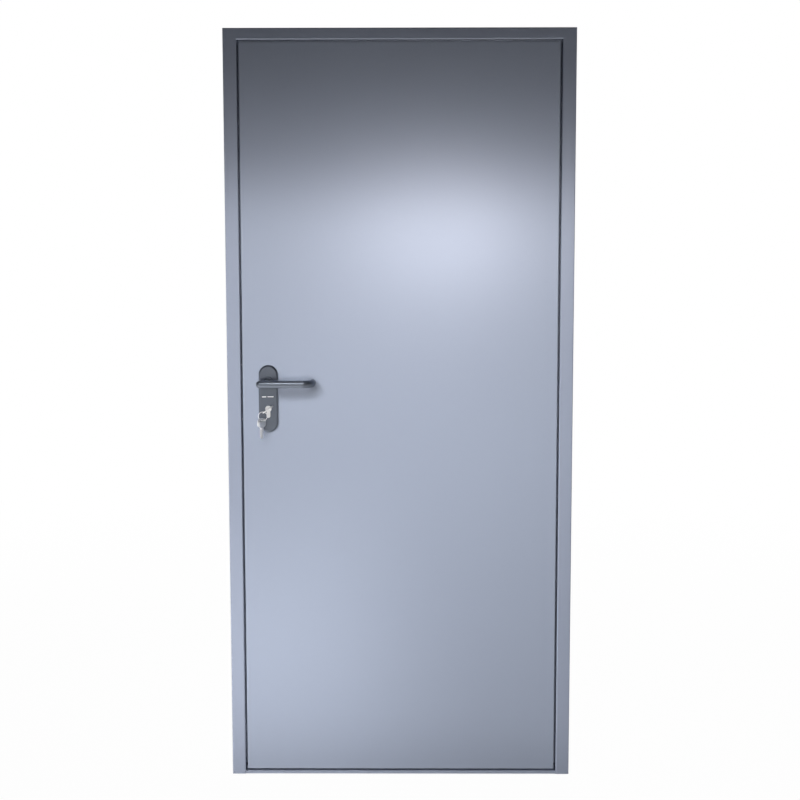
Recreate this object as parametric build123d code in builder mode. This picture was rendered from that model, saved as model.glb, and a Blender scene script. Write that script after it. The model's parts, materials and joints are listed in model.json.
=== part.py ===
import math
import os

from build123d import *

os.makedirs("parts", exist_ok=True)

# A single steel flush door in its frame, seen from the push side.
# Sizes are in millimetres. X runs to the right, Y away from the viewer, Z up.
# The origin lies at the middle of the sill's underside.

# Frame sizes
frame_width = 940
frame_height = 2050
frame_depth = 46
frame_wall = 2
frame_bend = 3
jamb_face = 37
head_face = 31
wall_return = 12
sill_height = 10
sill_wall = 1.5
sill_bend = 2.5
sill_end_gap = 0.2

# Frame anchors
anchor_radius = 5.25
anchor_first = 300
anchor_pitch = 500
anchor_count = 4

# Leaf sizes
leaf_gap = 5
leaf_gap_bottom = 5
skin = 1.5
skin_fold = 2.5
lip_thickness = 15
lip_overlap = 15
seal_height = 4
seal_clearance = 0.3
seal_width = 9
seal_inset = 2
core_clearance = 0.4

# Hinge sizes
upper_hinge_drop = 215
lower_hinge_rise = 215
hinge_length = 150
knuckle_radius = 10
knuckle_gap = 0.5
frame_knuckle_length = 60
hinge_plate = 3
hinge_plate_width = 52
hinge_lip_clearance = 2
pin_radius = 6
pin_clearance = 0.05
pin_cap = 4
pin_chamfer = 1.5

# Lock sizes
lever_height = 1105
backset = 70
cylinder_drop = 72
forend_width = 20
forend_length = 235
forend_thickness = 3
forend_corner = 2
forend_drop = 30
forend_clearance = 0.1
case_height = 165
case_thickness = 15
case_behind_axis = 28
case_drop = 33
latch_width = 12
latch_height = 32
latch_lift = 2
bolt_width = 12
bolt_height = 34
bolt_drop = 62
bolt_depth = 30
bolt_clearance = 0.3
strike_length = 170
strike_width = 24
strike_thickness = 2
strike_drop = 30
strike_margin = 3

# Cylinder sizes
cylinder_radius = 8.5
cylinder_leg_width = 10
cylinder_height = 33
cylinder_proud = 2
plug_radius = 6.5
plug_clearance = 0.05
plug_back = 2
cylinder_clearance = 0.3

# Handle plate sizes
plate_width = 52
plate_above = 47
plate_below = 64
plate_thickness = 10
plate_bevel = 4
plate_edge = 0.8
collar_radius = 16
collar_height = 3
collar_taper = 20

# Lever sizes
grip_radius = 10.5
grip_stand_off = 55
grip_left = 29
grip_right = 130
grip_bend = 24
grip_end_gap = 13
grip_end_bevel = 3
neck_radius = 10
neck_clearance = 0.3
neck_depth = 9
spindle_width = 8
spindle_socket = 26
spindle_clearance = 0.05
spindle_end_gap = 1
follower_clearance = 0.6

# Key sizes
key_thickness = 2.2
key_bow_width = 34
key_bow_length = 23
key_bow_round = 9.5
key_slot_length = 28.4
key_slot_width = 4.4
key_slot_inset = 5
key_blade_width = 8
key_blade_length = 31
key_tip = 3
key_neck_width = 11
key_neck_length = 1.5
key_cuts = 5
key_cut_pitch = 4.4
key_cut_size = 2.4
key_tilt = 55
key_stand_off = 2
keyway_clearance = 0.2
keyway_end_gap = 1
ring_radius = 12
ring_wire_width = 1.6
ring_wire_depth = 2.4
ring_lean = 22
ring_slot_play = 1
spare_twist = 28
spare_spread = 9
spare_lean = 16
spare_clearance = 1.2

# Places that follow from the sizes
front_y = -frame_depth / 2
rebate_y = frame_depth / 2
lip_y = rebate_y + seal_height
back_y = lip_y + lip_thickness
frame_half = frame_width / 2
reveal_x = frame_half - jamb_face
reveal_top = frame_height - head_face
leaf_half = reveal_x - leaf_gap
leaf_top = reveal_top - leaf_gap
leaf_bottom = sill_height + leaf_gap_bottom
lip_half = reveal_x + lip_overlap
lip_top = reveal_top + lip_overlap
body_depth = lip_y - front_y
body_mid_y = (front_y + lip_y) / 2
pin_x = lip_half + hinge_lip_clearance + knuckle_radius
pin_y = back_y + hinge_plate - knuckle_radius
lever_x = -leaf_half + backset
hinge_middles = {
    "lower": leaf_bottom + lower_hinge_rise,
    "upper": leaf_top - upper_hinge_drop,
}
cylinder_z = lever_height - cylinder_drop
keyway_depth = key_blade_length - key_stand_off + keyway_end_gap
plug_depth = keyway_depth + plug_back
plate_front_y = front_y - plate_thickness
plate_back_y = back_y + plate_thickness
cylinder_front_y = plate_front_y - cylinder_proud
cylinder_back_y = plate_back_y + cylinder_proud
grip_front_y = front_y - grip_stand_off
grip_back_y = back_y + grip_stand_off
leaf_mid_y = (front_y + back_y) / 2
follower_radius = spindle_width / math.sqrt(2) + follower_clearance


def save(part, label):
    part.label = label
    export_step(part, f"parts/{label}.step")


def channel_section(plane, face, wall_side):
    # Bent sheet section, open towards the wall.
    with BuildSketch(plane) as section:
        RectangleRounded(face, frame_depth, frame_bend)
        RectangleRounded(
            face - 2 * frame_wall,
            frame_depth - 2 * frame_wall,
            frame_bend - frame_wall,
            mode=Mode.SUBTRACT,
        )
        with Locations((wall_side * (face - frame_wall) / 2, 0)):
            Rectangle(frame_wall, frame_depth - 2 * wall_return, mode=Mode.SUBTRACT)
    return section.sketch


def mitre_plane(side):
    # The mitre runs from the reveal's corner to the frame's outer corner.
    along = Vector(side * jamb_face, 0, head_face)
    return Plane(
        origin=(side * reveal_x, 0, reveal_top),
        x_dir=(0, 1, 0),
        z_dir=along.cross(Vector(0, side, 0)),
    )


def anchor_holes(side):
    with BuildSketch(Plane.YZ.offset(side * reveal_x)) as holes:
        for anchor in range(anchor_count):
            with Locations((0, anchor_first + anchor * anchor_pitch)):
                Circle(anchor_radius)
    extrude(holes.sketch, amount=frame_wall * 2, both=True, mode=Mode.SUBTRACT)


def lock_openings(x, reach, margin):
    # The latch and bolt openings, cut along X.
    with BuildSketch(Plane.YZ.offset(x)) as openings:
        with Locations((body_mid_y, lever_height + latch_lift)):
            Rectangle(latch_width + margin, latch_height + margin)
        with Locations((body_mid_y, lever_height - bolt_drop)):
            Rectangle(bolt_width + margin, bolt_height + margin)
    extrude(openings.sketch, amount=reach, both=True, mode=Mode.SUBTRACT)


def seal_section(plane):
    # Rubber bead with a flat foot on the frame and a round crown.
    rise = seal_height - seal_clearance
    half = seal_width / 2
    with BuildSketch(plane) as section:
        with BuildLine():
            Polyline((-half, rise / 3), (-half, 0), (half, 0), (half, rise / 3))
            ThreePointArc((half, rise / 3), (0, rise), (-half, rise / 3))
        make_face()
    return section.sketch


def facing_plane(y, x=0, z=0):
    # Plane square to Y whose extrusions run away from the viewer.
    return Plane(origin=(x, y, z), x_dir=(-1, 0, 0), z_dir=(0, 1, 0))


def slab_section(y, half_width, bottom, top):
    # Upright rectangle across the door at one depth.
    with BuildSketch(facing_plane(y, 0, (bottom + top) / 2)) as section:
        Rectangle(2 * half_width, top - bottom)
    return section.sketch


def cylinder_section(y, gap):
    # Profile cylinder section: a round head with a leg below it.
    leg = cylinder_height - cylinder_radius - cylinder_leg_width / 2
    with BuildSketch(facing_plane(y, lever_x, cylinder_z)) as section:
        Circle(cylinder_radius + gap)
        with Locations((0, -leg / 2)):
            Rectangle(cylinder_leg_width + 2 * gap, leg)
        with Locations((0, -leg)):
            Circle(cylinder_leg_width / 2 + gap)
    return section.sketch


def lock_hardware_holes(y, reach, gap):
    # Spindle and cylinder holes, cut along Y from one depth.
    with BuildSketch(facing_plane(y, lever_x, lever_height)) as hole:
        Circle(follower_radius)
    extrude(hole.sketch, amount=reach, mode=Mode.SUBTRACT)
    extrude(cylinder_section(y, gap), amount=reach, mode=Mode.SUBTRACT)


def forend_section(x, gap):
    with BuildSketch(Plane.YZ.offset(x)) as section:
        with Locations((body_mid_y, lever_height - forend_drop)):
            RectangleRounded(forend_width + 2 * gap, forend_length + 2 * gap, forend_corner)
    return section.sketch


# Frame jambs
with BuildPart() as jamb_left:
    left_plane = Plane((-reveal_x - jamb_face / 2, 0, 0))
    extrude(channel_section(left_plane, jamb_face, -1), amount=frame_height)
    split(bisect_by=mitre_plane(-1), keep=Keep.BOTTOM)
    anchor_holes(-1)
    lock_openings(-reveal_x, 2 * frame_wall, strike_margin)
save(jamb_left.part, "jamb_left")

with BuildPart() as jamb_right:
    right_plane = Plane((reveal_x + jamb_face / 2, 0, 0))
    extrude(channel_section(right_plane, jamb_face, 1), amount=frame_height)
    split(bisect_by=mitre_plane(1), keep=Keep.BOTTOM)
    anchor_holes(1)
save(jamb_right.part, "jamb_right")

# Frame head
with BuildPart() as head:
    head_plane = Plane(
        origin=(-frame_half, 0, reveal_top + head_face / 2), x_dir=(0, 0, 1), z_dir=(1, 0, 0)
    )
    extrude(channel_section(head_plane, head_face, 1), amount=frame_width)
    split(bisect_by=mitre_plane(-1), keep=Keep.TOP)
    split(bisect_by=mitre_plane(1), keep=Keep.TOP)
save(head.part, "head")

# Sill tube between the jambs
with BuildPart() as sill:
    sill_length = 2 * (reveal_x - sill_end_gap)
    with BuildSketch(Plane.YZ.offset(-sill_length / 2)):
        with Locations((0, sill_height / 2)):
            RectangleRounded(frame_depth, sill_height, sill_bend)
            RectangleRounded(
                frame_depth - 2 * sill_wall,
                sill_height - 2 * sill_wall,
                sill_bend - sill_wall,
                mode=Mode.SUBTRACT,
            )
    extrude(amount=sill_length)
save(sill.part, "sill")

# Strike plate behind the left reveal
with BuildPart() as strike_plate:
    with BuildSketch(Plane.YZ.offset(-reveal_x - frame_wall)):
        with Locations((body_mid_y, lever_height - strike_drop)):
            RectangleRounded(strike_width, strike_length, strike_margin)
    extrude(amount=-strike_thickness)
    lock_openings(-reveal_x - frame_wall, 2 * strike_thickness, bolt_clearance)
save(strike_plate.part, "strike_plate")

# Rebate seals on the frame's back face
seal_x = reveal_x + lip_overlap - seal_width / 2 - seal_inset
seal_top = reveal_top + lip_overlap - seal_width / 2 - seal_inset
for side, side_name in ((-1, "left"), (1, "right")):
    seal_plane = Plane(
        origin=(side * seal_x, rebate_y, leaf_bottom), x_dir=(1, 0, 0), z_dir=(0, 0, 1)
    )
    with BuildPart() as seal:
        extrude(seal_section(seal_plane), amount=seal_top - seal_width / 2 - leaf_bottom)
    save(seal.part, f"seal_{side_name}")

with BuildPart() as seal_head:
    seal_half = seal_x + seal_width / 2
    seal_plane = Plane(
        origin=(-seal_half, rebate_y, seal_top), x_dir=(0, 0, -1), z_dir=(1, 0, 0)
    )
    extrude(seal_section(seal_plane), amount=2 * seal_half)
save(seal_head.part, "seal_head")

# Front skin, a folded tray with the face of the leaf
with BuildPart() as front_skin:
    extrude(slab_section(front_y, leaf_half, leaf_bottom, leaf_top), amount=body_depth)
    fillet(front_skin.faces().sort_by(Axis.Y)[0].edges(), skin_fold)
    offset(amount=-skin, openings=front_skin.faces().sort_by(Axis.Y)[-1])
    lock_hardware_holes(front_y, 2 * skin, cylinder_clearance)
    extrude(
        forend_section(-leaf_half, forend_clearance),
        amount=forend_thickness,
        both=True,
        mode=Mode.SUBTRACT,
    )
save(front_skin.part, "front_skin")

# Back skin, a folded tray whose rim is the rebate lip
with BuildPart() as back_skin:
    extrude(slab_section(lip_y, lip_half, leaf_bottom, lip_top), amount=lip_thickness)
    fillet(back_skin.faces().sort_by(Axis.Y)[-1].edges(), skin_fold)
    extrude(
        slab_section(lip_y + skin, lip_half - skin, leaf_bottom + skin, lip_top - skin),
        amount=lip_thickness - 2 * skin,
        mode=Mode.SUBTRACT,
    )
    extrude(
        slab_section(lip_y, leaf_half, leaf_bottom + skin, leaf_top),
        amount=skin,
        mode=Mode.SUBTRACT,
    )
    lock_hardware_holes(back_y - 2 * skin, 2 * skin, cylinder_clearance)
save(back_skin.part, "back_skin")

# Mortise lock case behind the edge of the leaf
case_start = -leaf_half + forend_thickness
case_end = lever_x + case_behind_axis
case_z = lever_height - case_drop
with BuildPart() as lock_case:
    with Locations(((case_start + case_end) / 2, body_mid_y, case_z)):
        Box(case_end - case_start, case_thickness, case_height)
    lock_hardware_holes(body_mid_y - case_thickness, 2 * case_thickness, cylinder_clearance)
    lock_openings(case_start, bolt_depth - forend_thickness, 2 * bolt_clearance)
save(lock_case.part, "lock_case")

with BuildPart() as lock_forend:
    extrude(forend_section(-leaf_half, 0), amount=forend_thickness)
    lock_openings(-leaf_half, 2 * forend_thickness, 2 * bolt_clearance)
save(lock_forend.part, "lock_forend")

# Latch and dead bolt, both drawn back level with the forend
with BuildPart() as latch_bolt:
    with Locations((-leaf_half + bolt_depth / 2, body_mid_y, lever_height + latch_lift)):
        Box(bolt_depth, latch_width, latch_height)
    latch_nose = latch_bolt.faces().sort_by(Axis.X)[0].edges().sort_by(Axis.Y)[-1]
    chamfer(latch_nose, latch_width / 2)
save(latch_bolt.part, "latch_bolt")

with BuildPart() as dead_bolt:
    with Locations((-leaf_half + bolt_depth / 2, body_mid_y, lever_height - bolt_drop)):
        Box(bolt_depth, bolt_width, bolt_height)
    chamfer(dead_bolt.faces().sort_by(Axis.X)[0].edges(), bolt_clearance)
save(dead_bolt.part, "dead_bolt")

# Mineral fibre core, with a pocket for the lock
core_inset = skin + core_clearance
with BuildPart() as leaf_core:
    extrude(
        slab_section(
            front_y + core_inset,
            leaf_half - core_inset,
            leaf_bottom + core_inset,
            leaf_top - core_inset,
        ),
        amount=body_depth,
    )
    extrude(
        slab_section(
            lip_y + core_inset,
            lip_half - core_inset,
            leaf_bottom + core_inset,
            lip_top - core_inset,
        ),
        amount=lip_thickness - 2 * core_inset,
    )
    with Locations(((case_start + case_end) / 2 - forend_thickness, body_mid_y, case_z)):
        Box(
            case_end - case_start + 2 * forend_thickness,
            case_thickness + 2 * core_clearance,
            case_height + 2 * core_clearance,
            mode=Mode.SUBTRACT,
        )
    extrude(
        forend_section(-leaf_half, core_clearance),
        amount=forend_thickness + core_clearance,
        mode=Mode.SUBTRACT,
    )
    lock_hardware_holes(front_y, back_y - front_y, cylinder_clearance)
save(leaf_core.part, "leaf_core")

# Profile cylinder with a plug at each end
with BuildPart() as cylinder_body:
    extrude(cylinder_section(cylinder_front_y, 0), amount=cylinder_back_y - cylinder_front_y)
    for y, inward in ((cylinder_front_y, 1), (cylinder_back_y, -1)):
        with BuildSketch(facing_plane(y, lever_x, cylinder_z)) as bore:
            Circle(plug_radius + plug_clearance)
        extrude(bore.sketch, amount=inward * plug_depth, mode=Mode.SUBTRACT)
save(cylinder_body.part, "cylinder_body")


def plug_solid(y, inward, tilt):
    # Plug with an open keyway along its face.
    with BuildSketch(facing_plane(y, lever_x, cylinder_z)) as round_face:
        Circle(plug_radius)
    extrude(round_face.sketch, amount=inward * plug_depth)
    with BuildSketch(facing_plane(y, lever_x, cylinder_z)) as keyway:
        Rectangle(
            key_thickness + 2 * keyway_clearance,
            key_blade_width + 2 * keyway_clearance,
            rotation=tilt,
        )
    extrude(keyway.sketch, amount=inward * keyway_depth, mode=Mode.SUBTRACT)


with BuildPart() as front_plug:
    plug_solid(cylinder_front_y, 1, key_tilt)
save(front_plug.part, "front_plug")

with BuildPart() as back_plug:
    plug_solid(cylinder_back_y, -1, 0)
save(back_plug.part, "back_plug")


# Handle plates
def plate_solid(plate, y, outward):
    # Rounded plate with a bevelled rim and a raised collar round the lever's neck.
    plate_length = plate_above + cylinder_drop + plate_below
    plate_z = lever_height + plate_above - plate_length / 2
    with BuildSketch(facing_plane(y, lever_x, plate_z)) as outline:
        SlotOverall(plate_length, plate_width, rotation=90)
    extrude(outline.sketch, amount=outward * plate_thickness)
    outer_face = 0 if outward < 0 else -1
    chamfer(plate.faces().sort_by(Axis.Y)[outer_face].edges(), plate_bevel)
    fillet(plate.faces().sort_by(Axis.Y)[outer_face].edges(), plate_edge)
    collar_y = y + outward * plate_thickness
    with BuildSketch(facing_plane(collar_y, lever_x, lever_height)) as collar:
        Circle(collar_radius)
    extrude(collar.sketch, amount=outward * collar_height, taper=collar_taper)
    with BuildSketch(facing_plane(y, lever_x, lever_height)) as bore:
        Circle(neck_radius + neck_clearance)
    extrude(
        bore.sketch,
        amount=outward * (plate_thickness + collar_height),
        mode=Mode.SUBTRACT,
    )
    extrude(
        cylinder_section(y, cylinder_clearance),
        amount=outward * plate_thickness,
        mode=Mode.SUBTRACT,
    )


with BuildPart() as front_plate:
    plate_solid(front_plate, front_y, -1)
save(front_plate.part, "front_plate")

with BuildPart() as back_plate:
    plate_solid(back_plate, back_y, 1)
save(back_plate.part, "back_plate")

# Lever with a round bar grip that returns towards the leaf
with BuildPart() as front_lever:
    grip_start = lever_x - grip_left + grip_radius
    return_x = lever_x + grip_right - grip_radius
    with BuildLine(Plane.XY.offset(lever_height)) as grip_path:
        Line((grip_start, grip_front_y), (return_x - grip_bend, grip_front_y))
        RadiusArc(
            (return_x - grip_bend, grip_front_y),
            (return_x, grip_front_y + grip_bend),
            -grip_bend,
        )
        Line((return_x, grip_front_y + grip_bend), (return_x, front_y - grip_end_gap))
    with BuildSketch(Plane(origin=(grip_start, grip_front_y, lever_height), z_dir=(1, 0, 0))):
        Circle(grip_radius)
    sweep(path=grip_path.wire())
    chamfer(front_lever.faces().sort_by(Axis.Y)[-1].edges(), grip_end_bevel)
    with Locations((grip_start, grip_front_y, lever_height)):
        Sphere(grip_radius)
    with BuildSketch(facing_plane(grip_front_y, lever_x, lever_height)) as neck:
        Circle(neck_radius)
    extrude(neck.sketch, amount=grip_stand_off - plate_thickness + neck_depth)
    with BuildSketch(facing_plane(plate_front_y + neck_depth, lever_x, lever_height)) as socket:
        Rectangle(
            spindle_width + 2 * spindle_clearance,
            spindle_width + 2 * spindle_clearance,
        )
    extrude(socket.sketch, amount=-spindle_socket, mode=Mode.SUBTRACT)
save(front_lever.part, "front_lever")

leaf_middle = Plane(origin=(0, leaf_mid_y, 0), z_dir=(0, 1, 0))
with BuildPart() as back_lever:
    mirror(front_lever.part, about=leaf_middle)
save(back_lever.part, "back_lever")

# Square spindle through the lock
spindle_half = leaf_mid_y - (plate_front_y + neck_depth - spindle_socket) - spindle_end_gap
with BuildPart() as spindle:
    with Locations((lever_x, leaf_mid_y, lever_height)):
        Box(spindle_width, 2 * spindle_half, spindle_width)
save(spindle.part, "spindle")


# Keys
def key_solid(plane):
    # Flat key: the plane's origin is the middle of its slot and its blade points down.
    shoulder = key_slot_inset - key_bow_length
    neck_end = shoulder - key_neck_length
    blade_end = shoulder - key_blade_length
    half_blade = key_blade_width / 2
    with BuildSketch(plane) as outline:
        with Locations((0, key_slot_inset - key_bow_length / 2)):
            RectangleRounded(key_bow_width, key_bow_length, key_bow_round)
        with Locations((0, neck_end + key_bow_length / 4)):
            Rectangle(key_neck_width, key_bow_length / 2)
        with BuildLine():
            Polyline(
                (-half_blade, shoulder),
                (-half_blade, blade_end + key_tip),
                (-half_blade + key_tip, blade_end),
                (half_blade, blade_end + key_tip),
                (half_blade, shoulder),
                close=True,
            )
        make_face()
        for cut in range(key_cuts):
            with Locations((-half_blade, blade_end + key_tip + (cut + 0.5) * key_cut_pitch)):
                Rectangle(key_cut_size, key_cut_size, rotation=45, mode=Mode.SUBTRACT)
        SlotOverall(key_slot_length, key_slot_width, mode=Mode.SUBTRACT)
    extrude(outline.sketch, amount=key_thickness / 2, both=True)


slot_y = cylinder_front_y - key_stand_off - key_bow_length + key_slot_inset
tilt = math.radians(key_tilt)
bow_dir = Vector(-math.sin(tilt), 0, -math.cos(tilt))
with BuildPart() as lock_key:
    key_solid(
        Plane(
            origin=(lever_x, slot_y, cylinder_z),
            x_dir=bow_dir,
            z_dir=bow_dir.cross(Vector(0, -1, 0)),
        )
    )
save(lock_key.part, "lock_key")

# Split ring of flat wire through the low end of the key's slot
wire_reach = (key_slot_length - key_slot_width) / 2 - ring_slot_play
lean = math.radians(ring_lean)
ring_x = lever_x + bow_dir.X * wire_reach - ring_radius * math.sin(lean)
ring_z = cylinder_z + bow_dir.Z * wire_reach - ring_radius * math.cos(lean)
with BuildPart() as key_ring:
    with BuildSketch(Plane.XY.offset(ring_z)) as wire:
        with Locations((ring_x + ring_radius, slot_y)):
            Rectangle(ring_wire_width, ring_wire_depth)
    revolve(wire.sketch, axis=Axis((ring_x, slot_y, ring_z), (0, 1, 0)))
save(key_ring.part, "key_ring")

# Spare keys hanging on the bottom of the ring
twist = math.radians(spare_twist)
for name, swing in (("spare_key_front", -spare_spread), ("spare_key_rear", spare_spread)):
    round_ring = math.radians(swing - spare_lean)
    slot_sink = (key_slot_width - ring_wire_width) / 2 - spare_clearance
    spare_origin = Vector(
        ring_x + ring_radius * math.sin(round_ring),
        slot_y,
        ring_z - ring_radius * math.cos(round_ring) - slot_sink,
    )
    across = Vector(math.sin(twist), math.cos(twist), 0)
    with BuildPart() as spare_key:
        key_solid(Plane(origin=spare_origin, x_dir=across, z_dir=across.cross(Vector(0, 0, 1))))
    save(spare_key.part, name)


# Hinges
def round_bar(radius, start, end, mode=Mode.ADD):
    # Upright cylinder on the hinge axis.
    with BuildSketch(Plane.XY.offset(start)) as section:
        with Locations((pin_x, pin_y)):
            Circle(radius)
    extrude(section.sketch, amount=end - start, mode=mode)


def upright_block(x_start, x_end, y_start, y_end, start, end):
    with BuildSketch(Plane.XY.offset(start)) as section:
        with Locations(((x_start + x_end) / 2, (y_start + y_end) / 2)):
            Rectangle(x_end - x_start, y_end - y_start)
    extrude(section.sketch, amount=end - start)


for place, middle in hinge_middles.items():
    low = middle - hinge_length / 2
    high = middle + hinge_length / 2
    frame_low = middle - frame_knuckle_length / 2
    frame_high = middle + frame_knuckle_length / 2

    with BuildPart() as leaf_hinge:
        plate_start = lip_half - hinge_plate_width
        upright_block(plate_start, lip_half, back_y, back_y + hinge_plate, low, high)
        for start, end in ((low, frame_low - knuckle_gap), (frame_high + knuckle_gap, high)):
            upright_block(lip_half, pin_x, back_y, back_y + hinge_plate, start, end)
            round_bar(knuckle_radius, start, end)
        round_bar(pin_radius + pin_clearance, low, high, Mode.SUBTRACT)
    save(leaf_hinge.part, f"{place}_leaf_hinge")

    with BuildPart() as frame_hinge:
        upright_block(
            pin_x - knuckle_radius,
            pin_x + knuckle_radius,
            rebate_y,
            rebate_y + hinge_plate,
            frame_low,
            frame_high,
        )
        round_bar(knuckle_radius, frame_low, frame_high)
        round_bar(pin_radius + pin_clearance, frame_low, frame_high, Mode.SUBTRACT)
    save(frame_hinge.part, f"{place}_frame_hinge")

    with BuildPart() as hinge_pin:
        round_bar(pin_radius, low - knuckle_gap, high + knuckle_gap)
        round_bar(knuckle_radius, low - knuckle_gap - pin_cap, low - knuckle_gap)
        round_bar(knuckle_radius, high + knuckle_gap, high + knuckle_gap + pin_cap)
        chamfer(hinge_pin.faces().sort_by(Axis.Z)[0].edges(), pin_chamfer)
        chamfer(hinge_pin.faces().sort_by(Axis.Z)[-1].edges(), pin_chamfer)
    save(hinge_pin.part, f"{place}_hinge_pin")
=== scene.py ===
import json
import math

import bmesh
import bpy
from mathutils import Matrix, Vector


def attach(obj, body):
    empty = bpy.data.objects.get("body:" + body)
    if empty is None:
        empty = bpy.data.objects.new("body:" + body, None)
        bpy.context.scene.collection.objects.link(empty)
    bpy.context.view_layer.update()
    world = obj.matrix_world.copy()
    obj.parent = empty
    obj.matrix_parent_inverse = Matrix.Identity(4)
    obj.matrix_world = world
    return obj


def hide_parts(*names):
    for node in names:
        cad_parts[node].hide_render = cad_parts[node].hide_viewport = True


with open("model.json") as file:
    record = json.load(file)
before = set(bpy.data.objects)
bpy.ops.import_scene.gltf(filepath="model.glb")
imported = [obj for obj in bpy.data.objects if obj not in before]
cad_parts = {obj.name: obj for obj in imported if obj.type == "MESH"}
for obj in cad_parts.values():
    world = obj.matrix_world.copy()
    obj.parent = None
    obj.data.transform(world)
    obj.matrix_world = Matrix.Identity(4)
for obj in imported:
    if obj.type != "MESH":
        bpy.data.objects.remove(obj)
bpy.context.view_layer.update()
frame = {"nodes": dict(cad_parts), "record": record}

MM = 0.001


# Shader maths

class Value:
    """A shader socket that can be used in plain arithmetic."""

    def __init__(self, finish, socket):
        self.finish = finish
        self.socket = socket

    def maths(self, operation, *others):
        return self.finish.node("ShaderNodeMath", {"operation": operation}, [self, *others])

    def __add__(self, other):
        return self.maths("ADD", other)

    __radd__ = __add__

    def __sub__(self, other):
        return self.maths("SUBTRACT", other)

    def __rsub__(self, other):
        return self.finish.node("ShaderNodeMath", {"operation": "SUBTRACT"}, [other, self])

    def __mul__(self, other):
        return self.maths("MULTIPLY", other)

    __rmul__ = __mul__

    def __truediv__(self, other):
        return self.maths("DIVIDE", other)

    def __rtruediv__(self, other):
        return self.finish.node("ShaderNodeMath", {"operation": "DIVIDE"}, [other, self])

    def __pow__(self, other):
        return self.maths("POWER", other)

    def __neg__(self):
        return self * -1.0

    def limited(self, low, high):
        return self.maths("MAXIMUM", low).maths("MINIMUM", high)

    def below(self, edge, blur):
        """1 under the edge and 0 above it, with a soft step between."""
        return 1.0 - self.above(edge, blur)

    def above(self, edge, blur):
        """0 under the edge and 1 above it, with a soft step between."""
        return self.finish.node(
            "ShaderNodeMapRange",
            {"interpolation_type": "SMOOTHSTEP"},
            {"Value": self, "From Min": edge - blur, "From Max": edge + blur},
        )

    def spot(self, middle, spread):
        """A bell that is 1 at the middle."""
        offset = (self - middle) / spread
        return 1.0 / (1.0 + offset * offset)


class Finish:
    """The node tree of a surface finish or of the studio, with the calls that fill it."""

    def __init__(self, tree):
        self.tree = tree
        self.tree.nodes.clear()

    def node(self, kind, settings=None, inputs=None, output=0):
        made = self.tree.nodes.new(kind)
        for name, value in (settings or {}).items():
            setattr(made, name, value)
        given = inputs or {}
        pairs = enumerate(given) if isinstance(given, (list, tuple)) else given.items()
        for name, value in pairs:
            socket = made.inputs[name]
            if isinstance(value, Value):
                self.tree.links.new(value.socket, socket)
            elif isinstance(value, (list, tuple)) and len(value) == 3 and socket.type == "RGBA":
                socket.default_value = (*value, 1.0)
            else:
                socket.default_value = value
        return Value(self, made.outputs[output]) if made.outputs else None

    def noise(self, place, size, detail):
        """Noise between 0 and 1 with features of about that size in metres."""
        return self.node(
            "ShaderNodeTexNoise", {}, {"Vector": place, "Scale": 1.0 / size, "Detail": detail}
        )

    def stretched(self, place, x, y, z):
        return self.node("ShaderNodeMapping", {}, {"Vector": place, "Scale": (x, y, z)})

    def blend(self, factor, first, second):
        """The first colour at factor 0 and the second at 1."""
        return self.node(
            "ShaderNodeMix", {"data_type": "RGBA"}, {0: factor, 6: first, 7: second}, output=2
        )

    def bump(self, height, depth, under=None):
        """Relief of that depth in metres, on top of another one if it is given."""
        inputs = {"Height": height, "Distance": depth, "Strength": 1.0}
        if under is not None:
            inputs["Normal"] = under
        return self.node("ShaderNodeBump", {}, inputs)


def material(name):
    made = bpy.data.materials.new(name)
    made.use_nodes = True
    return made, Finish(made.node_tree)


def close_surface(finish, inputs):
    """Principled surface: plain numbers are set on its sockets and values are linked."""
    surface = finish.node("ShaderNodeBsdfPrincipled", {}, inputs)
    finish.node("ShaderNodeOutputMaterial", {}, {"Surface": surface})


def object_place(finish):
    return finish.node("ShaderNodeTexCoord", output="Object")


def camera_ray(finish):
    return finish.node("ShaderNodeLightPath", output="Is Camera Ray")


# Finishes

def powder_coat(name, pale, deep):
    """Metallic grey powder coat: fine grain, orange peel and slightly wavy sheet."""
    made, finish = material(name)
    place = object_place(finish)
    flake = finish.noise(place, 0.9 * MM, 1.0)
    drift = finish.noise(place, 0.35, 2.0)
    peel = finish.noise(place, 2.4 * MM, 2.0)
    wave = finish.noise(finish.stretched(place, 1.0, 1.0, 0.6), 0.42, 1.0)
    shade = finish.blend(flake * 0.55 + drift * 0.45, deep, pale)
    rough = 0.145 + flake * 0.02 + drift * 0.02
    wavy = finish.bump(wave, 0.2 * MM)
    grained = finish.bump(peel + flake * 0.5, 0.003 * MM, under=wavy)
    close_surface(
        finish, {"Base Color": shade, "Roughness": rough, "Metallic": 0.25, "Normal": grained}
    )
    return made


def black_handle_finish(name):
    """Black moulded plastic over metal, satin, with faint handling polish."""
    made, finish = material(name)
    place = object_place(finish)
    grain = finish.noise(place, 0.6 * MM, 2.0)
    polish = finish.noise(place, 18 * MM, 2.0)
    shade = finish.blend(grain * 0.5 + polish * 0.5, (0.014, 0.016, 0.022), (0.024, 0.027, 0.036))
    rough = 0.25 + polish * 0.05 + grain * 0.03
    grained = finish.bump(grain, 0.012 * MM)
    close_surface(
        finish,
        {
            "Base Color": shade,
            "Roughness": rough,
            "IOR": 2.35,
            "Specular Tint": (0.76, 0.85, 1.0, 1.0),
            "Normal": grained,
        },
    )
    return made


def rubber_finish(name):
    made, finish = material(name)
    place = object_place(finish)
    grain = finish.noise(place, 0.5 * MM, 2.0)
    dust = finish.noise(place, 25 * MM, 3.0)
    shade = finish.blend(dust, (0.014, 0.014, 0.015), (0.032, 0.032, 0.033))
    grained = finish.bump(grain, 0.03 * MM)
    close_surface(
        finish, {"Base Color": shade, "Roughness": 0.72 + grain * 0.15, "Normal": grained}
    )
    return made


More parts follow.
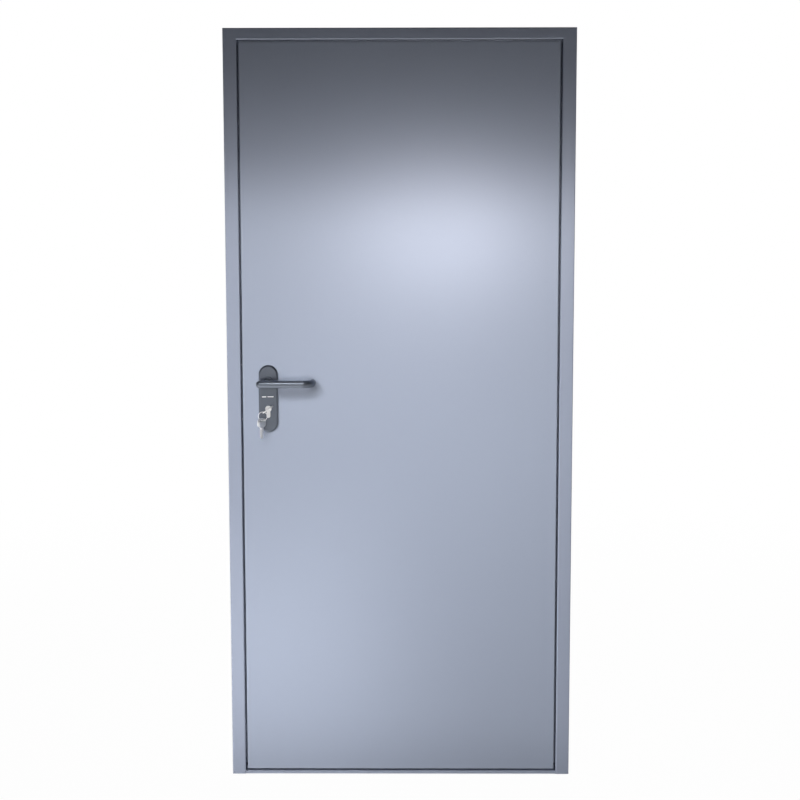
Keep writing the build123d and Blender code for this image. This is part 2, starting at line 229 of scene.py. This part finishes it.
def brushed_metal_finish(name, pale, deep, rough, along, metallic=1.0):
    """Metal with slight stains, brushed along the axis that has a small number in along."""
    made, finish = material(name)
    place = object_place(finish)
    lines = finish.noise(finish.stretched(place, *along), 0.5 * MM, 2.0)
    stain = finish.noise(place, 14 * MM, 3.0)
    shade = finish.blend(lines * 0.6 + stain * 0.4, deep, pale)
    grained = finish.bump(lines, 0.006 * MM)
    worn = rough + lines * 0.1 + stain * 0.08
    close_surface(
        finish, {"Base Color": shade, "Roughness": worn, "Metallic": metallic, "Normal": grained}
    )
    return made


def fibre_finish(name):
    made, finish = material(name)
    place = object_place(finish)
    strands = finish.noise(finish.stretched(place, 1.0, 0.2, 1.0), 2.0 * MM, 4.0)
    clumps = finish.noise(place, 30 * MM, 2.0)
    shade = finish.blend(strands * 0.6 + clumps * 0.4, (0.30, 0.25, 0.14), (0.58, 0.52, 0.36))
    matted = finish.bump(strands, 0.6 * MM)
    close_surface(
        finish, {"Base Color": shade, "Roughness": 0.9 + strands * 0.1, "Normal": matted}
    )
    return made


def print_finish(name):
    """White ink of the plain mark on the handle plate."""
    made, finish = material(name)
    place = object_place(finish)
    speckle = finish.noise(place, 0.4 * MM, 2.0)
    shade = finish.blend(speckle, (0.94, 0.94, 0.95), (0.98, 0.98, 0.98))
    close_surface(finish, {"Base Color": shade, "Roughness": 0.5 + speckle * 0.1})
    return made


FINISHES = {
    "leaf_paint": powder_coat("leaf_powder_coat", (0.405, 0.455, 0.57), (0.375, 0.42, 0.53)),
    "frame_paint": powder_coat("frame_powder_coat", (0.39, 0.435, 0.55), (0.36, 0.40, 0.51)),
    "handle_black": black_handle_finish("handle_black"),
    "seal_rubber": rubber_finish("seal_rubber"),
    "lock_steel": brushed_metal_finish(
        "lock_stainless", (0.66, 0.66, 0.67), (0.50, 0.50, 0.51), 0.25, (1.0, 1.0, 0.03)
    ),
    "zinc_steel": brushed_metal_finish(
        "zinc_plated_steel", (0.62, 0.62, 0.60), (0.44, 0.45, 0.47), 0.3, (1.0, 1.0, 1.0)
    ),
    "cylinder_nickel": brushed_metal_finish(
        "cylinder_nickel", (0.90, 0.90, 0.90), (0.76, 0.76, 0.77), 0.26, (1.0, 0.05, 1.0)
    ),
    "key_nickel": brushed_metal_finish(
        "key_nickel_silver", (0.92, 0.92, 0.93), (0.78, 0.78, 0.80), 0.24, (1.0, 1.0, 0.08), 0.7
    ),
    "core_fibre": fibre_finish("core_mineral_fibre"),
}
mark_ink = print_finish("mark_white_ink")

for part in frame["record"]["subparts"]:
    node = frame["nodes"][part["node"]]
    node.data.materials.clear()
    node.data.materials.append(FINISHES[part["material_slot"]])


# Added pieces

# Measures of the added pieces and of the places they sit on, in metres
SCREW_SIDES = 32
SCREW_DEPTH = 0.6  # share of the head's radius, as the next two
SCREW_FOOT = 0.5
CROSS_SLOT = (1.15, 0.26, 0.6)  # length, width and depth
SCREW_PROUD = 0.25 * MM
SCREW_SEED = 7
RING_STEPS = 64  # per turn
RING_PITCH = 1.03  # share of the wire's thickness, as the next
RING_ROUNDING = 0.25
INK_HEIGHT = 0.12 * MM
INK_DEPTH = 0.1 * MM
END_STEPS = 8  # flats in the rounded end of a bar of ink
HANDLE_X = -0.358
FRONT_PLATE_FACE = -33 * MM
BACK_PLATE_FACE = 52 * MM
HINGE_PLATE_FACE = 45 * MM
HINGE_MIDDLES = (0.230, 1.799)
LEAF_EDGE = -0.428
REVEAL_EDGE = -0.433
LOCK_Y = 2 * MM
TO_THE_BACK = (0.0, 1.0, 0.0)
TO_THE_LEFT = (-1.0, 0.0, 0.0)
TO_THE_RIGHT = (1.0, 0.0, 0.0)
KEY_RING_CENTRE = (-0.371505, -0.055, 1.015565)
MARK_BARS = [  # left, right, low and high
    (-0.3753, -0.3631, 1.0644, 1.0674),
    (-0.3603, -0.3432, 1.0650, 1.0674),
]
LIP_EDGE = 0.446
SWEEP_SECTION = [  # Y and Z
    (0.0285, 0.0153),
    (0.0315, 0.0153),
    (0.0312, 0.009),
    (0.0308, 0.004),
    (0.0296, 0.004),
    (0.029, 0.009),
]


class Shape:
    """A geometry node tree that is turned into one plain mesh."""

    def __init__(self, name, finish):
        self.name = name
        self.finish = finish
        self.tree = bpy.data.node_groups.new(name, "GeometryNodeTree")
        self.values = {}
        self.socket("Geometry", "NodeSocketGeometry")
        self.given = self.tree.nodes.new("NodeGroupInput")

    def socket(self, name, kind):
        return self.tree.interface.new_socket(name, in_out="INPUT", socket_type=kind).identifier

    def input(self, name, kind, value):
        """A named input of the tree, set to the value before the tree is first evaluated."""
        identifier = self.socket(name, kind)
        self.values[identifier] = value
        return next(one for one in self.given.outputs if one.identifier == identifier)

    def node(self, kind, settings=None, inputs=None, output=0):
        made = self.tree.nodes.new(kind)
        for name, value in (settings or {}).items():
            setattr(made, name, value)
        for name, value in (inputs or {}).items():
            for one in value if isinstance(value, list) else [value]:
                if isinstance(one, bpy.types.NodeSocket):
                    self.tree.links.new(one, made.inputs[name])
                else:
                    made.inputs[name].default_value = one
        return made.outputs[output]

    def times(self, first, second):
        return self.node("ShaderNodeMath", {"operation": "MULTIPLY"}, {0: first, 1: second})

    def vector(self, x, y, z):
        return self.node("ShaderNodeCombineXYZ", {}, {0: x, 1: y, 2: z})

    def moved(self, geometry, place, turn=(0.0, 0.0, 0.0)):
        return self.node(
            "GeometryNodeTransform",
            {},
            {"Geometry": geometry, "Translation": place, "Rotation": turn},
        )

    def mesh(self, geometry, points=()):
        """The result on these points, with its instances made real and its finish set."""
        self.tree.interface.new_socket(
            "Geometry", in_out="OUTPUT", socket_type="NodeSocketGeometry"
        )
        real = self.node("GeometryNodeRealizeInstances", {}, {"Geometry": geometry})
        finished = self.node(
            "GeometryNodeSetMaterial", {}, {"Geometry": real, "Material": self.finish}
        )
        end = self.tree.nodes.new("NodeGroupOutput")
        self.tree.links.new(finished, end.inputs[0])
        start = bpy.data.meshes.new(self.name + "_points")
        start.from_pydata(points, [], [])
        holder = bpy.data.objects.new(self.name + "_points", start)
        bpy.context.collection.objects.link(holder)
        maker = holder.modifiers.new("shape", "NODES")
        maker.node_group = self.tree
        for identifier, value in self.values.items():
            maker[identifier] = value
        holder.update_tag()
        graph = bpy.context.evaluated_depsgraph_get()
        made = bpy.data.meshes.new_from_object(holder.evaluated_get(graph))
        made.name = self.name
        holder.modifiers.clear()
        bpy.data.objects.remove(holder)
        return made


def add_piece(name, mesh, body):
    piece = bpy.data.objects.new(name, mesh)
    bpy.context.collection.objects.link(piece)
    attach(piece, body)
    return piece


def add_screws(name, finish, body, radius, facing, places):
    """Countersunk cross-head screws sunk in their plate, each turned its own way."""
    shape = Shape(name, finish)
    head_radius = shape.input("Head radius", "NodeSocketFloat", radius)
    proud = shape.input("Height above the plate", "NodeSocketFloat", SCREW_PROUD)
    look = shape.input("Facing", "NodeSocketVector", facing)
    seed = shape.input("Seed", "NodeSocketInt", SCREW_SEED)
    depth = shape.times(head_radius, SCREW_DEPTH)
    cone = shape.node(
        "GeometryNodeMeshCone",
        {},
        {
            "Vertices": SCREW_SIDES,
            "Radius Top": head_radius,
            "Radius Bottom": shape.times(head_radius, SCREW_FOOT),
            "Depth": depth,
        },
    )
    top = shape.node("ShaderNodeMath", {"operation": "SUBTRACT"}, {0: proud, 1: depth})
    blank = shape.moved(cone, shape.vector(0.0, 0.0, top))
    slot_size = shape.vector(*(shape.times(head_radius, share) for share in CROSS_SLOT))
    bar = shape.node("GeometryNodeMeshCube", {}, {"Size": slot_size})
    cross = [
        shape.moved(bar, shape.vector(0.0, 0.0, proud), (0.0, 0.0, turn))
        for turn in (0.0, math.pi / 2)
    ]
    head = shape.node(
        "GeometryNodeMeshBoolean", {"operation": "DIFFERENCE"}, {"Mesh 1": blank, "Mesh 2": cross}
    )
    dots = shape.node("GeometryNodeMeshToPoints", {}, {"Mesh": shape.given.outputs[0]})
    upright = shape.node("FunctionNodeAlignRotationToVector", {"axis": "Z"}, {"Vector": look})
    placed = shape.node(
        "GeometryNodeInstanceOnPoints",
        {},
        {"Points": dots, "Instance": head, "Rotation": upright},
    )
    angle = shape.node(
        "FunctionNodeRandomValue",
        {"data_type": "FLOAT"},
        {2: 0.0, 3: math.pi, "Seed": seed},
        output=1,
    )
    turned = shape.node(
        "GeometryNodeRotateInstances",
        {},
        {"Instances": placed, "Rotation": shape.vector(0.0, 0.0, angle)},
    )
    return add_piece(name, shape.mesh(turned, places), body)


def split_ring_mesh(name, finish, centre, radius, wire_width, wire_thickness, turns):
    """Flat wire wound almost twice round, its two turns lying against each other."""
    shape = Shape(name, finish)
    reach = shape.input("Ring radius", "NodeSocketFloat", radius)
    width = shape.input("Wire width", "NodeSocketFloat", wire_width)
    thickness = shape.input("Wire thickness", "NodeSocketFloat", wire_thickness)
    rounds = shape.input("Turns", "NodeSocketFloat", turns)
    pitch = wire_thickness * RING_PITCH
    coil = shape.node(
        "GeometryNodeCurveSpiral",
        {},
        {
            "Resolution": RING_STEPS,
            "Rotations": rounds,
            "Start Radius": reach,
            "End Radius": reach,
            "Height": shape.times(rounds, pitch),
        },
    )
    level = shape.node("GeometryNodeSetCurveNormal", {"mode": "Z_UP"}, {"Curve": coil})
    section = shape.node(
        "GeometryNodeCurvePrimitiveQuadrilateral", {}, {"Width": width, "Height": thickness}
    )
    softened = shape.node(
        "GeometryNodeFilletCurve",
        {"mode": "POLY"},
        {"Curve": section, "Count": 2, "Radius": wire_thickness * RING_ROUNDING},
    )
    wire = shape.node(
        "GeometryNodeCurveToMesh",
        {},
        {"Curve": level, "Profile Curve": softened, "Fill Caps": True},
    )
    shift = (centre[0], centre[1] + turns * pitch / 2, centre[2])
    return shape.mesh(shape.moved(wire, shift, (math.pi / 2, 0.0, 0.0)))


def close_prism(built, first, last):
    """Both end faces and the sides between them."""
    built.faces.new(first)
    built.faces.new(last[::-1])
    for here in range(len(first)):
        after = (here + 1) % len(first)
        built.faces.new((first[here], last[here], last[after], first[after]))


def plain_mesh(name, finish, built):
    bmesh.ops.recalc_face_normals(built, faces=built.faces)
    mesh = bpy.data.meshes.new(name)
    built.to_mesh(mesh)
    built.free()
    mesh.materials.append(finish)
    return mesh


def printed_bars(name, finish, face_y, bars):
    """Short round-ended bars printed on a face that looks along -Y."""
    built = bmesh.new()
    for left, right, low, high in bars:
        end = (high - low) / 2
        middle = (high + low) / 2
        outline = []
        for centre_x, start in ((right - end, -90), (left + end, 90)):
            for step in range(END_STEPS + 1):
                angle = math.radians(start + step * 180 / END_STEPS)
                outline.append((centre_x + end * math.cos(angle), middle + end * math.sin(angle)))
        front = [built.verts.new((x, face_y - INK_HEIGHT, z)) for x, z in outline]
        back = [built.verts.new((x, face_y + INK_DEPTH, z)) for x, z in outline]
        close_prism(built, front, back)
    return plain_mesh(name, finish, built)


def straight_strip(name, finish, left, right, section):
    """Strip along X with this section of points in Y and Z."""
    built = bmesh.new()
    first, last = ([built.verts.new((x, y, z)) for y, z in section] for x in (left, right))
    close_prism(built, first, last)
    return plain_mesh(name, finish, built)


def hinge_screw_places(middle):
    """Two staggered rows on the leaf's hinge plate round this height."""
    return [
        (x, HINGE_PLATE_FACE, middle + rise)
        for x, rise in ((0.409, -0.058), (0.409, 0.022), (0.434, -0.022), (0.434, 0.058))
    ]


hinge_places = [place for middle in HINGE_MIDDLES for place in hinge_screw_places(middle)]
back_plate_places = [(HANDLE_X, BACK_PLATE_FACE, z) for z in (1.1405, 0.983)]
forend_places = [(LEAF_EDGE, LOCK_Y, z) for z in (1.182, 0.968)]
strike_places = [(REVEAL_EDGE, LOCK_Y, z) for z in (1.150, 1.0)]

for name, slot, body, radius, facing, places in (
    ("hinge_screws", "zinc_steel", "leaf", 4.6 * MM, TO_THE_BACK, hinge_places),
    ("back_plate_screws", "zinc_steel", "leaf", 3.6 * MM, TO_THE_BACK, back_plate_places),
    ("forend_screws", "lock_steel", "leaf", 3.8 * MM, TO_THE_LEFT, forend_places),
    ("strike_screws", "lock_steel", "frame", 3.4 * MM, TO_THE_RIGHT, strike_places),
):
    add_screws(name, FINISHES[slot], body, radius, facing, places)

ring_mesh = split_ring_mesh(
    "split_key_ring",
    FINISHES["key_nickel"],
    KEY_RING_CENTRE,
    radius=12.0 * MM,
    wire_width=1.6 * MM,
    wire_thickness=0.78 * MM,
    turns=1.92,
)
split_ring = add_piece("split_key_ring", ring_mesh, "leaf")
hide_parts("key_ring")

mark_mesh = printed_bars("plate_mark", mark_ink, FRONT_PLATE_FACE, MARK_BARS)
add_piece("plate_mark", mark_mesh, "leaf")

# The rubber sweep under the leaf's lip closes the gap over the floor behind the sill.
sweep_mesh = straight_strip(
    "bottom_seal", FINISHES["seal_rubber"], -LIP_EDGE, LIP_EDGE, SWEEP_SECTION
)
add_piece("bottom_seal", sweep_mesh, "leaf")


# Studio

PHOTOGRAPH_WIDTH = 800  # pixels
FOCAL_LENGTH = 1700  # pixels of the photograph
SENSOR_WIDTH = 36.0  # millimetres
CAMERA_PLACE = (0.03489, -4.6107, 1.65116)
CAMERA_HEADING = 0.00764  # radians, as the next two
CAMERA_DOWNWARD = 0.12903
CAMERA_ROLL = -0.00142
FLOOR_HALF = 40.0
FLOOR_Z = -0.5 * MM


def studio_world():
    """White backdrop, soft even light, and the bright and dark walls that the paint mirrors."""
    world = bpy.data.worlds.new("studio")
    world.use_nodes = True
    bpy.context.scene.world = world
    sky = Finish(world.node_tree)
    heading = sky.node("ShaderNodeTexCoord", output="Generated")
    x, y, z = (
        sky.node("ShaderNodeSeparateXYZ", {}, {"Vector": heading}, output=axis) for axis in "XYZ"
    )
    # Sideways and upward slopes of a direction that leads out in front of the door
    reach = (-y).limited(0.05, 1.0)
    slope_x = x / reach
    slope_z = z / reach
    # The window makes the bright patch on the leaf, and the edges light the paint beside it.
    window = (slope_z.spot(-0.0245, 0.0405) * slope_x.spot(0.016, 0.088)) ** 4.0 * 14.0
    edges = slope_z.spot(-0.015, 0.032) ** 2.0 * (1.0 - slope_x.spot(0.012, 0.07)) * 1.6
    # Under the horizon the room is lighter on the left, with a side wall and pale ground.
    slant = slope_x.limited(-0.2, 0.2) * slope_z.below(-0.2, 0.1) * 2.4
    side_wall = slope_x.spot(-1.3, 0.5) * 1.3
    ground = slope_z.below(-0.6, 0.15) * 0.8
    low = 0.56 - slant + window + side_wall + ground
    # Above the horizon it is dark, which gives the dark top of the leaf.
    ahead = 0.06 + slope_z.below(-0.01, 0.01) * low + edges
    around = 0.15 + z.below(0.1, 0.2) * 0.3
    front = y.below(0.0, 0.15)
    room = ahead * front + (1.0 - front) * around
    camera = camera_ray(sky)
    strength = camera + (1.0 - camera) * room
    warmth = slope_z.spot(-0.02, 0.06) * slope_x.spot(0.02, 0.12) * (1.0 - camera)
    shade = sky.blend(warmth, (1.0, 1.0, 1.0), (1.05, 1.0, 0.97))
    light = sky.node("ShaderNodeBackground", {}, {"Color": shade, "Strength": strength})
    sky.node("ShaderNodeOutputWorld", {}, {"Surface": light})


def studio_floor():
    """Pale floor that keeps the door's soft shadow and runs out into the white backdrop."""
    mesh = bpy.data.meshes.new("studio_floor")
    corners = [
        (side * FLOOR_HALF, end * FLOOR_HALF, FLOOR_Z)
        for side, end in ((-1, -1), (1, -1), (1, 1), (-1, 1))
    ]
    mesh.from_pydata(corners, [], [(0, 1, 2, 3)])
    floor = bpy.data.objects.new("studio_floor", mesh)
    bpy.context.collection.objects.link(floor)
    made, finish = material("studio_floor")
    camera = camera_ray(finish)
    pale = finish.node("ShaderNodeBsdfDiffuse", {}, {"Color": (0.8, 0.8, 0.8)})
    white = finish.node("ShaderNodeEmission", {}, {"Color": (1.0, 1.0, 1.0), "Strength": 1.0})
    place = object_place(finish)
    distance = finish.node("ShaderNodeVectorMath", {"operation": "LENGTH"}, [place], output="Value")
    whitened = 0.98 + distance.above(3.0, 1.5) * 0.02
    surface = finish.node("ShaderNodeMixShader", {}, [camera * whitened, pale, white])
    finish.node("ShaderNodeOutputMaterial", {}, {"Surface": surface})
    mesh.materials.append(made)
    floor.visible_glossy = False


def soft_box(name, place, target, width, height, power, beam, mirrored=False):
    """Soft box with a grid that keeps its light within the beam angle, in degrees."""
    lamp = bpy.data.lights.new(name, "AREA")
    lamp.shape = "RECTANGLE"
    lamp.size = width
    lamp.size_y = height
    lamp.spread = math.radians(beam)
    lamp.energy = power
    held = bpy.data.objects.new(name, lamp)
    bpy.context.collection.objects.link(held)
    held.visible_camera = False
    held.visible_glossy = mirrored
    back = (Vector(place) - Vector(target)).normalized()
    right = (Vector((1.0, 0.0, 0.0)) - back * back.x).normalized()
    aim = Matrix((right, back.cross(right), back)).transposed()
    held.matrix_world = Matrix.Translation(place) @ aim.to_4x4()


def photograph_camera():
    lens = bpy.data.cameras.new("camera")
    lens.sensor_fit = "HORIZONTAL"
    lens.sensor_width = SENSOR_WIDTH
    lens.lens = SENSOR_WIDTH * FOCAL_LENGTH / PHOTOGRAPH_WIDTH
    lens.clip_end = 200
    camera = bpy.data.objects.new("camera", lens)
    bpy.context.collection.objects.link(camera)
    camera.matrix_world = (
        Matrix.Translation(CAMERA_PLACE)
        @ Matrix.Rotation(CAMERA_HEADING, 4, "Z")
        @ Matrix.Rotation(math.pi / 2 - CAMERA_DOWNWARD, 4, "X")
        @ Matrix.Rotation(CAMERA_ROLL, 4, "Z")
    )
    bpy.context.scene.camera = camera


studio_world()
studio_floor()
soft_box("front_box", (-0.4, -1.4, 1.22), (0.0, 0.0, 0.82), 1.12, 1.52, 1.7, 14)
soft_box("low_box", (-0.72, -1.4, 0.25), (-0.72, 0.0, 0.25), 1.3, 0.6, 1.2, 36)
soft_box("side_box", (-2.2, -3.8, 3.1), (0.0, 0.0, 0.75), 0.7, 0.7, 2.0, 24)
soft_box("strip_box", (-0.2, -2.4, 2.7), (0.0, 0.0, 0.95), 1.8, 0.3, 1.9, 34, mirrored=True)
soft_box("back_box", (0.5, 4.0, 3.2), (0.0, 0.0, 1.0), 2.5, 2.5, 60, 120)
photograph_camera()

bpy.context.scene.view_settings.view_transform = "Standard"
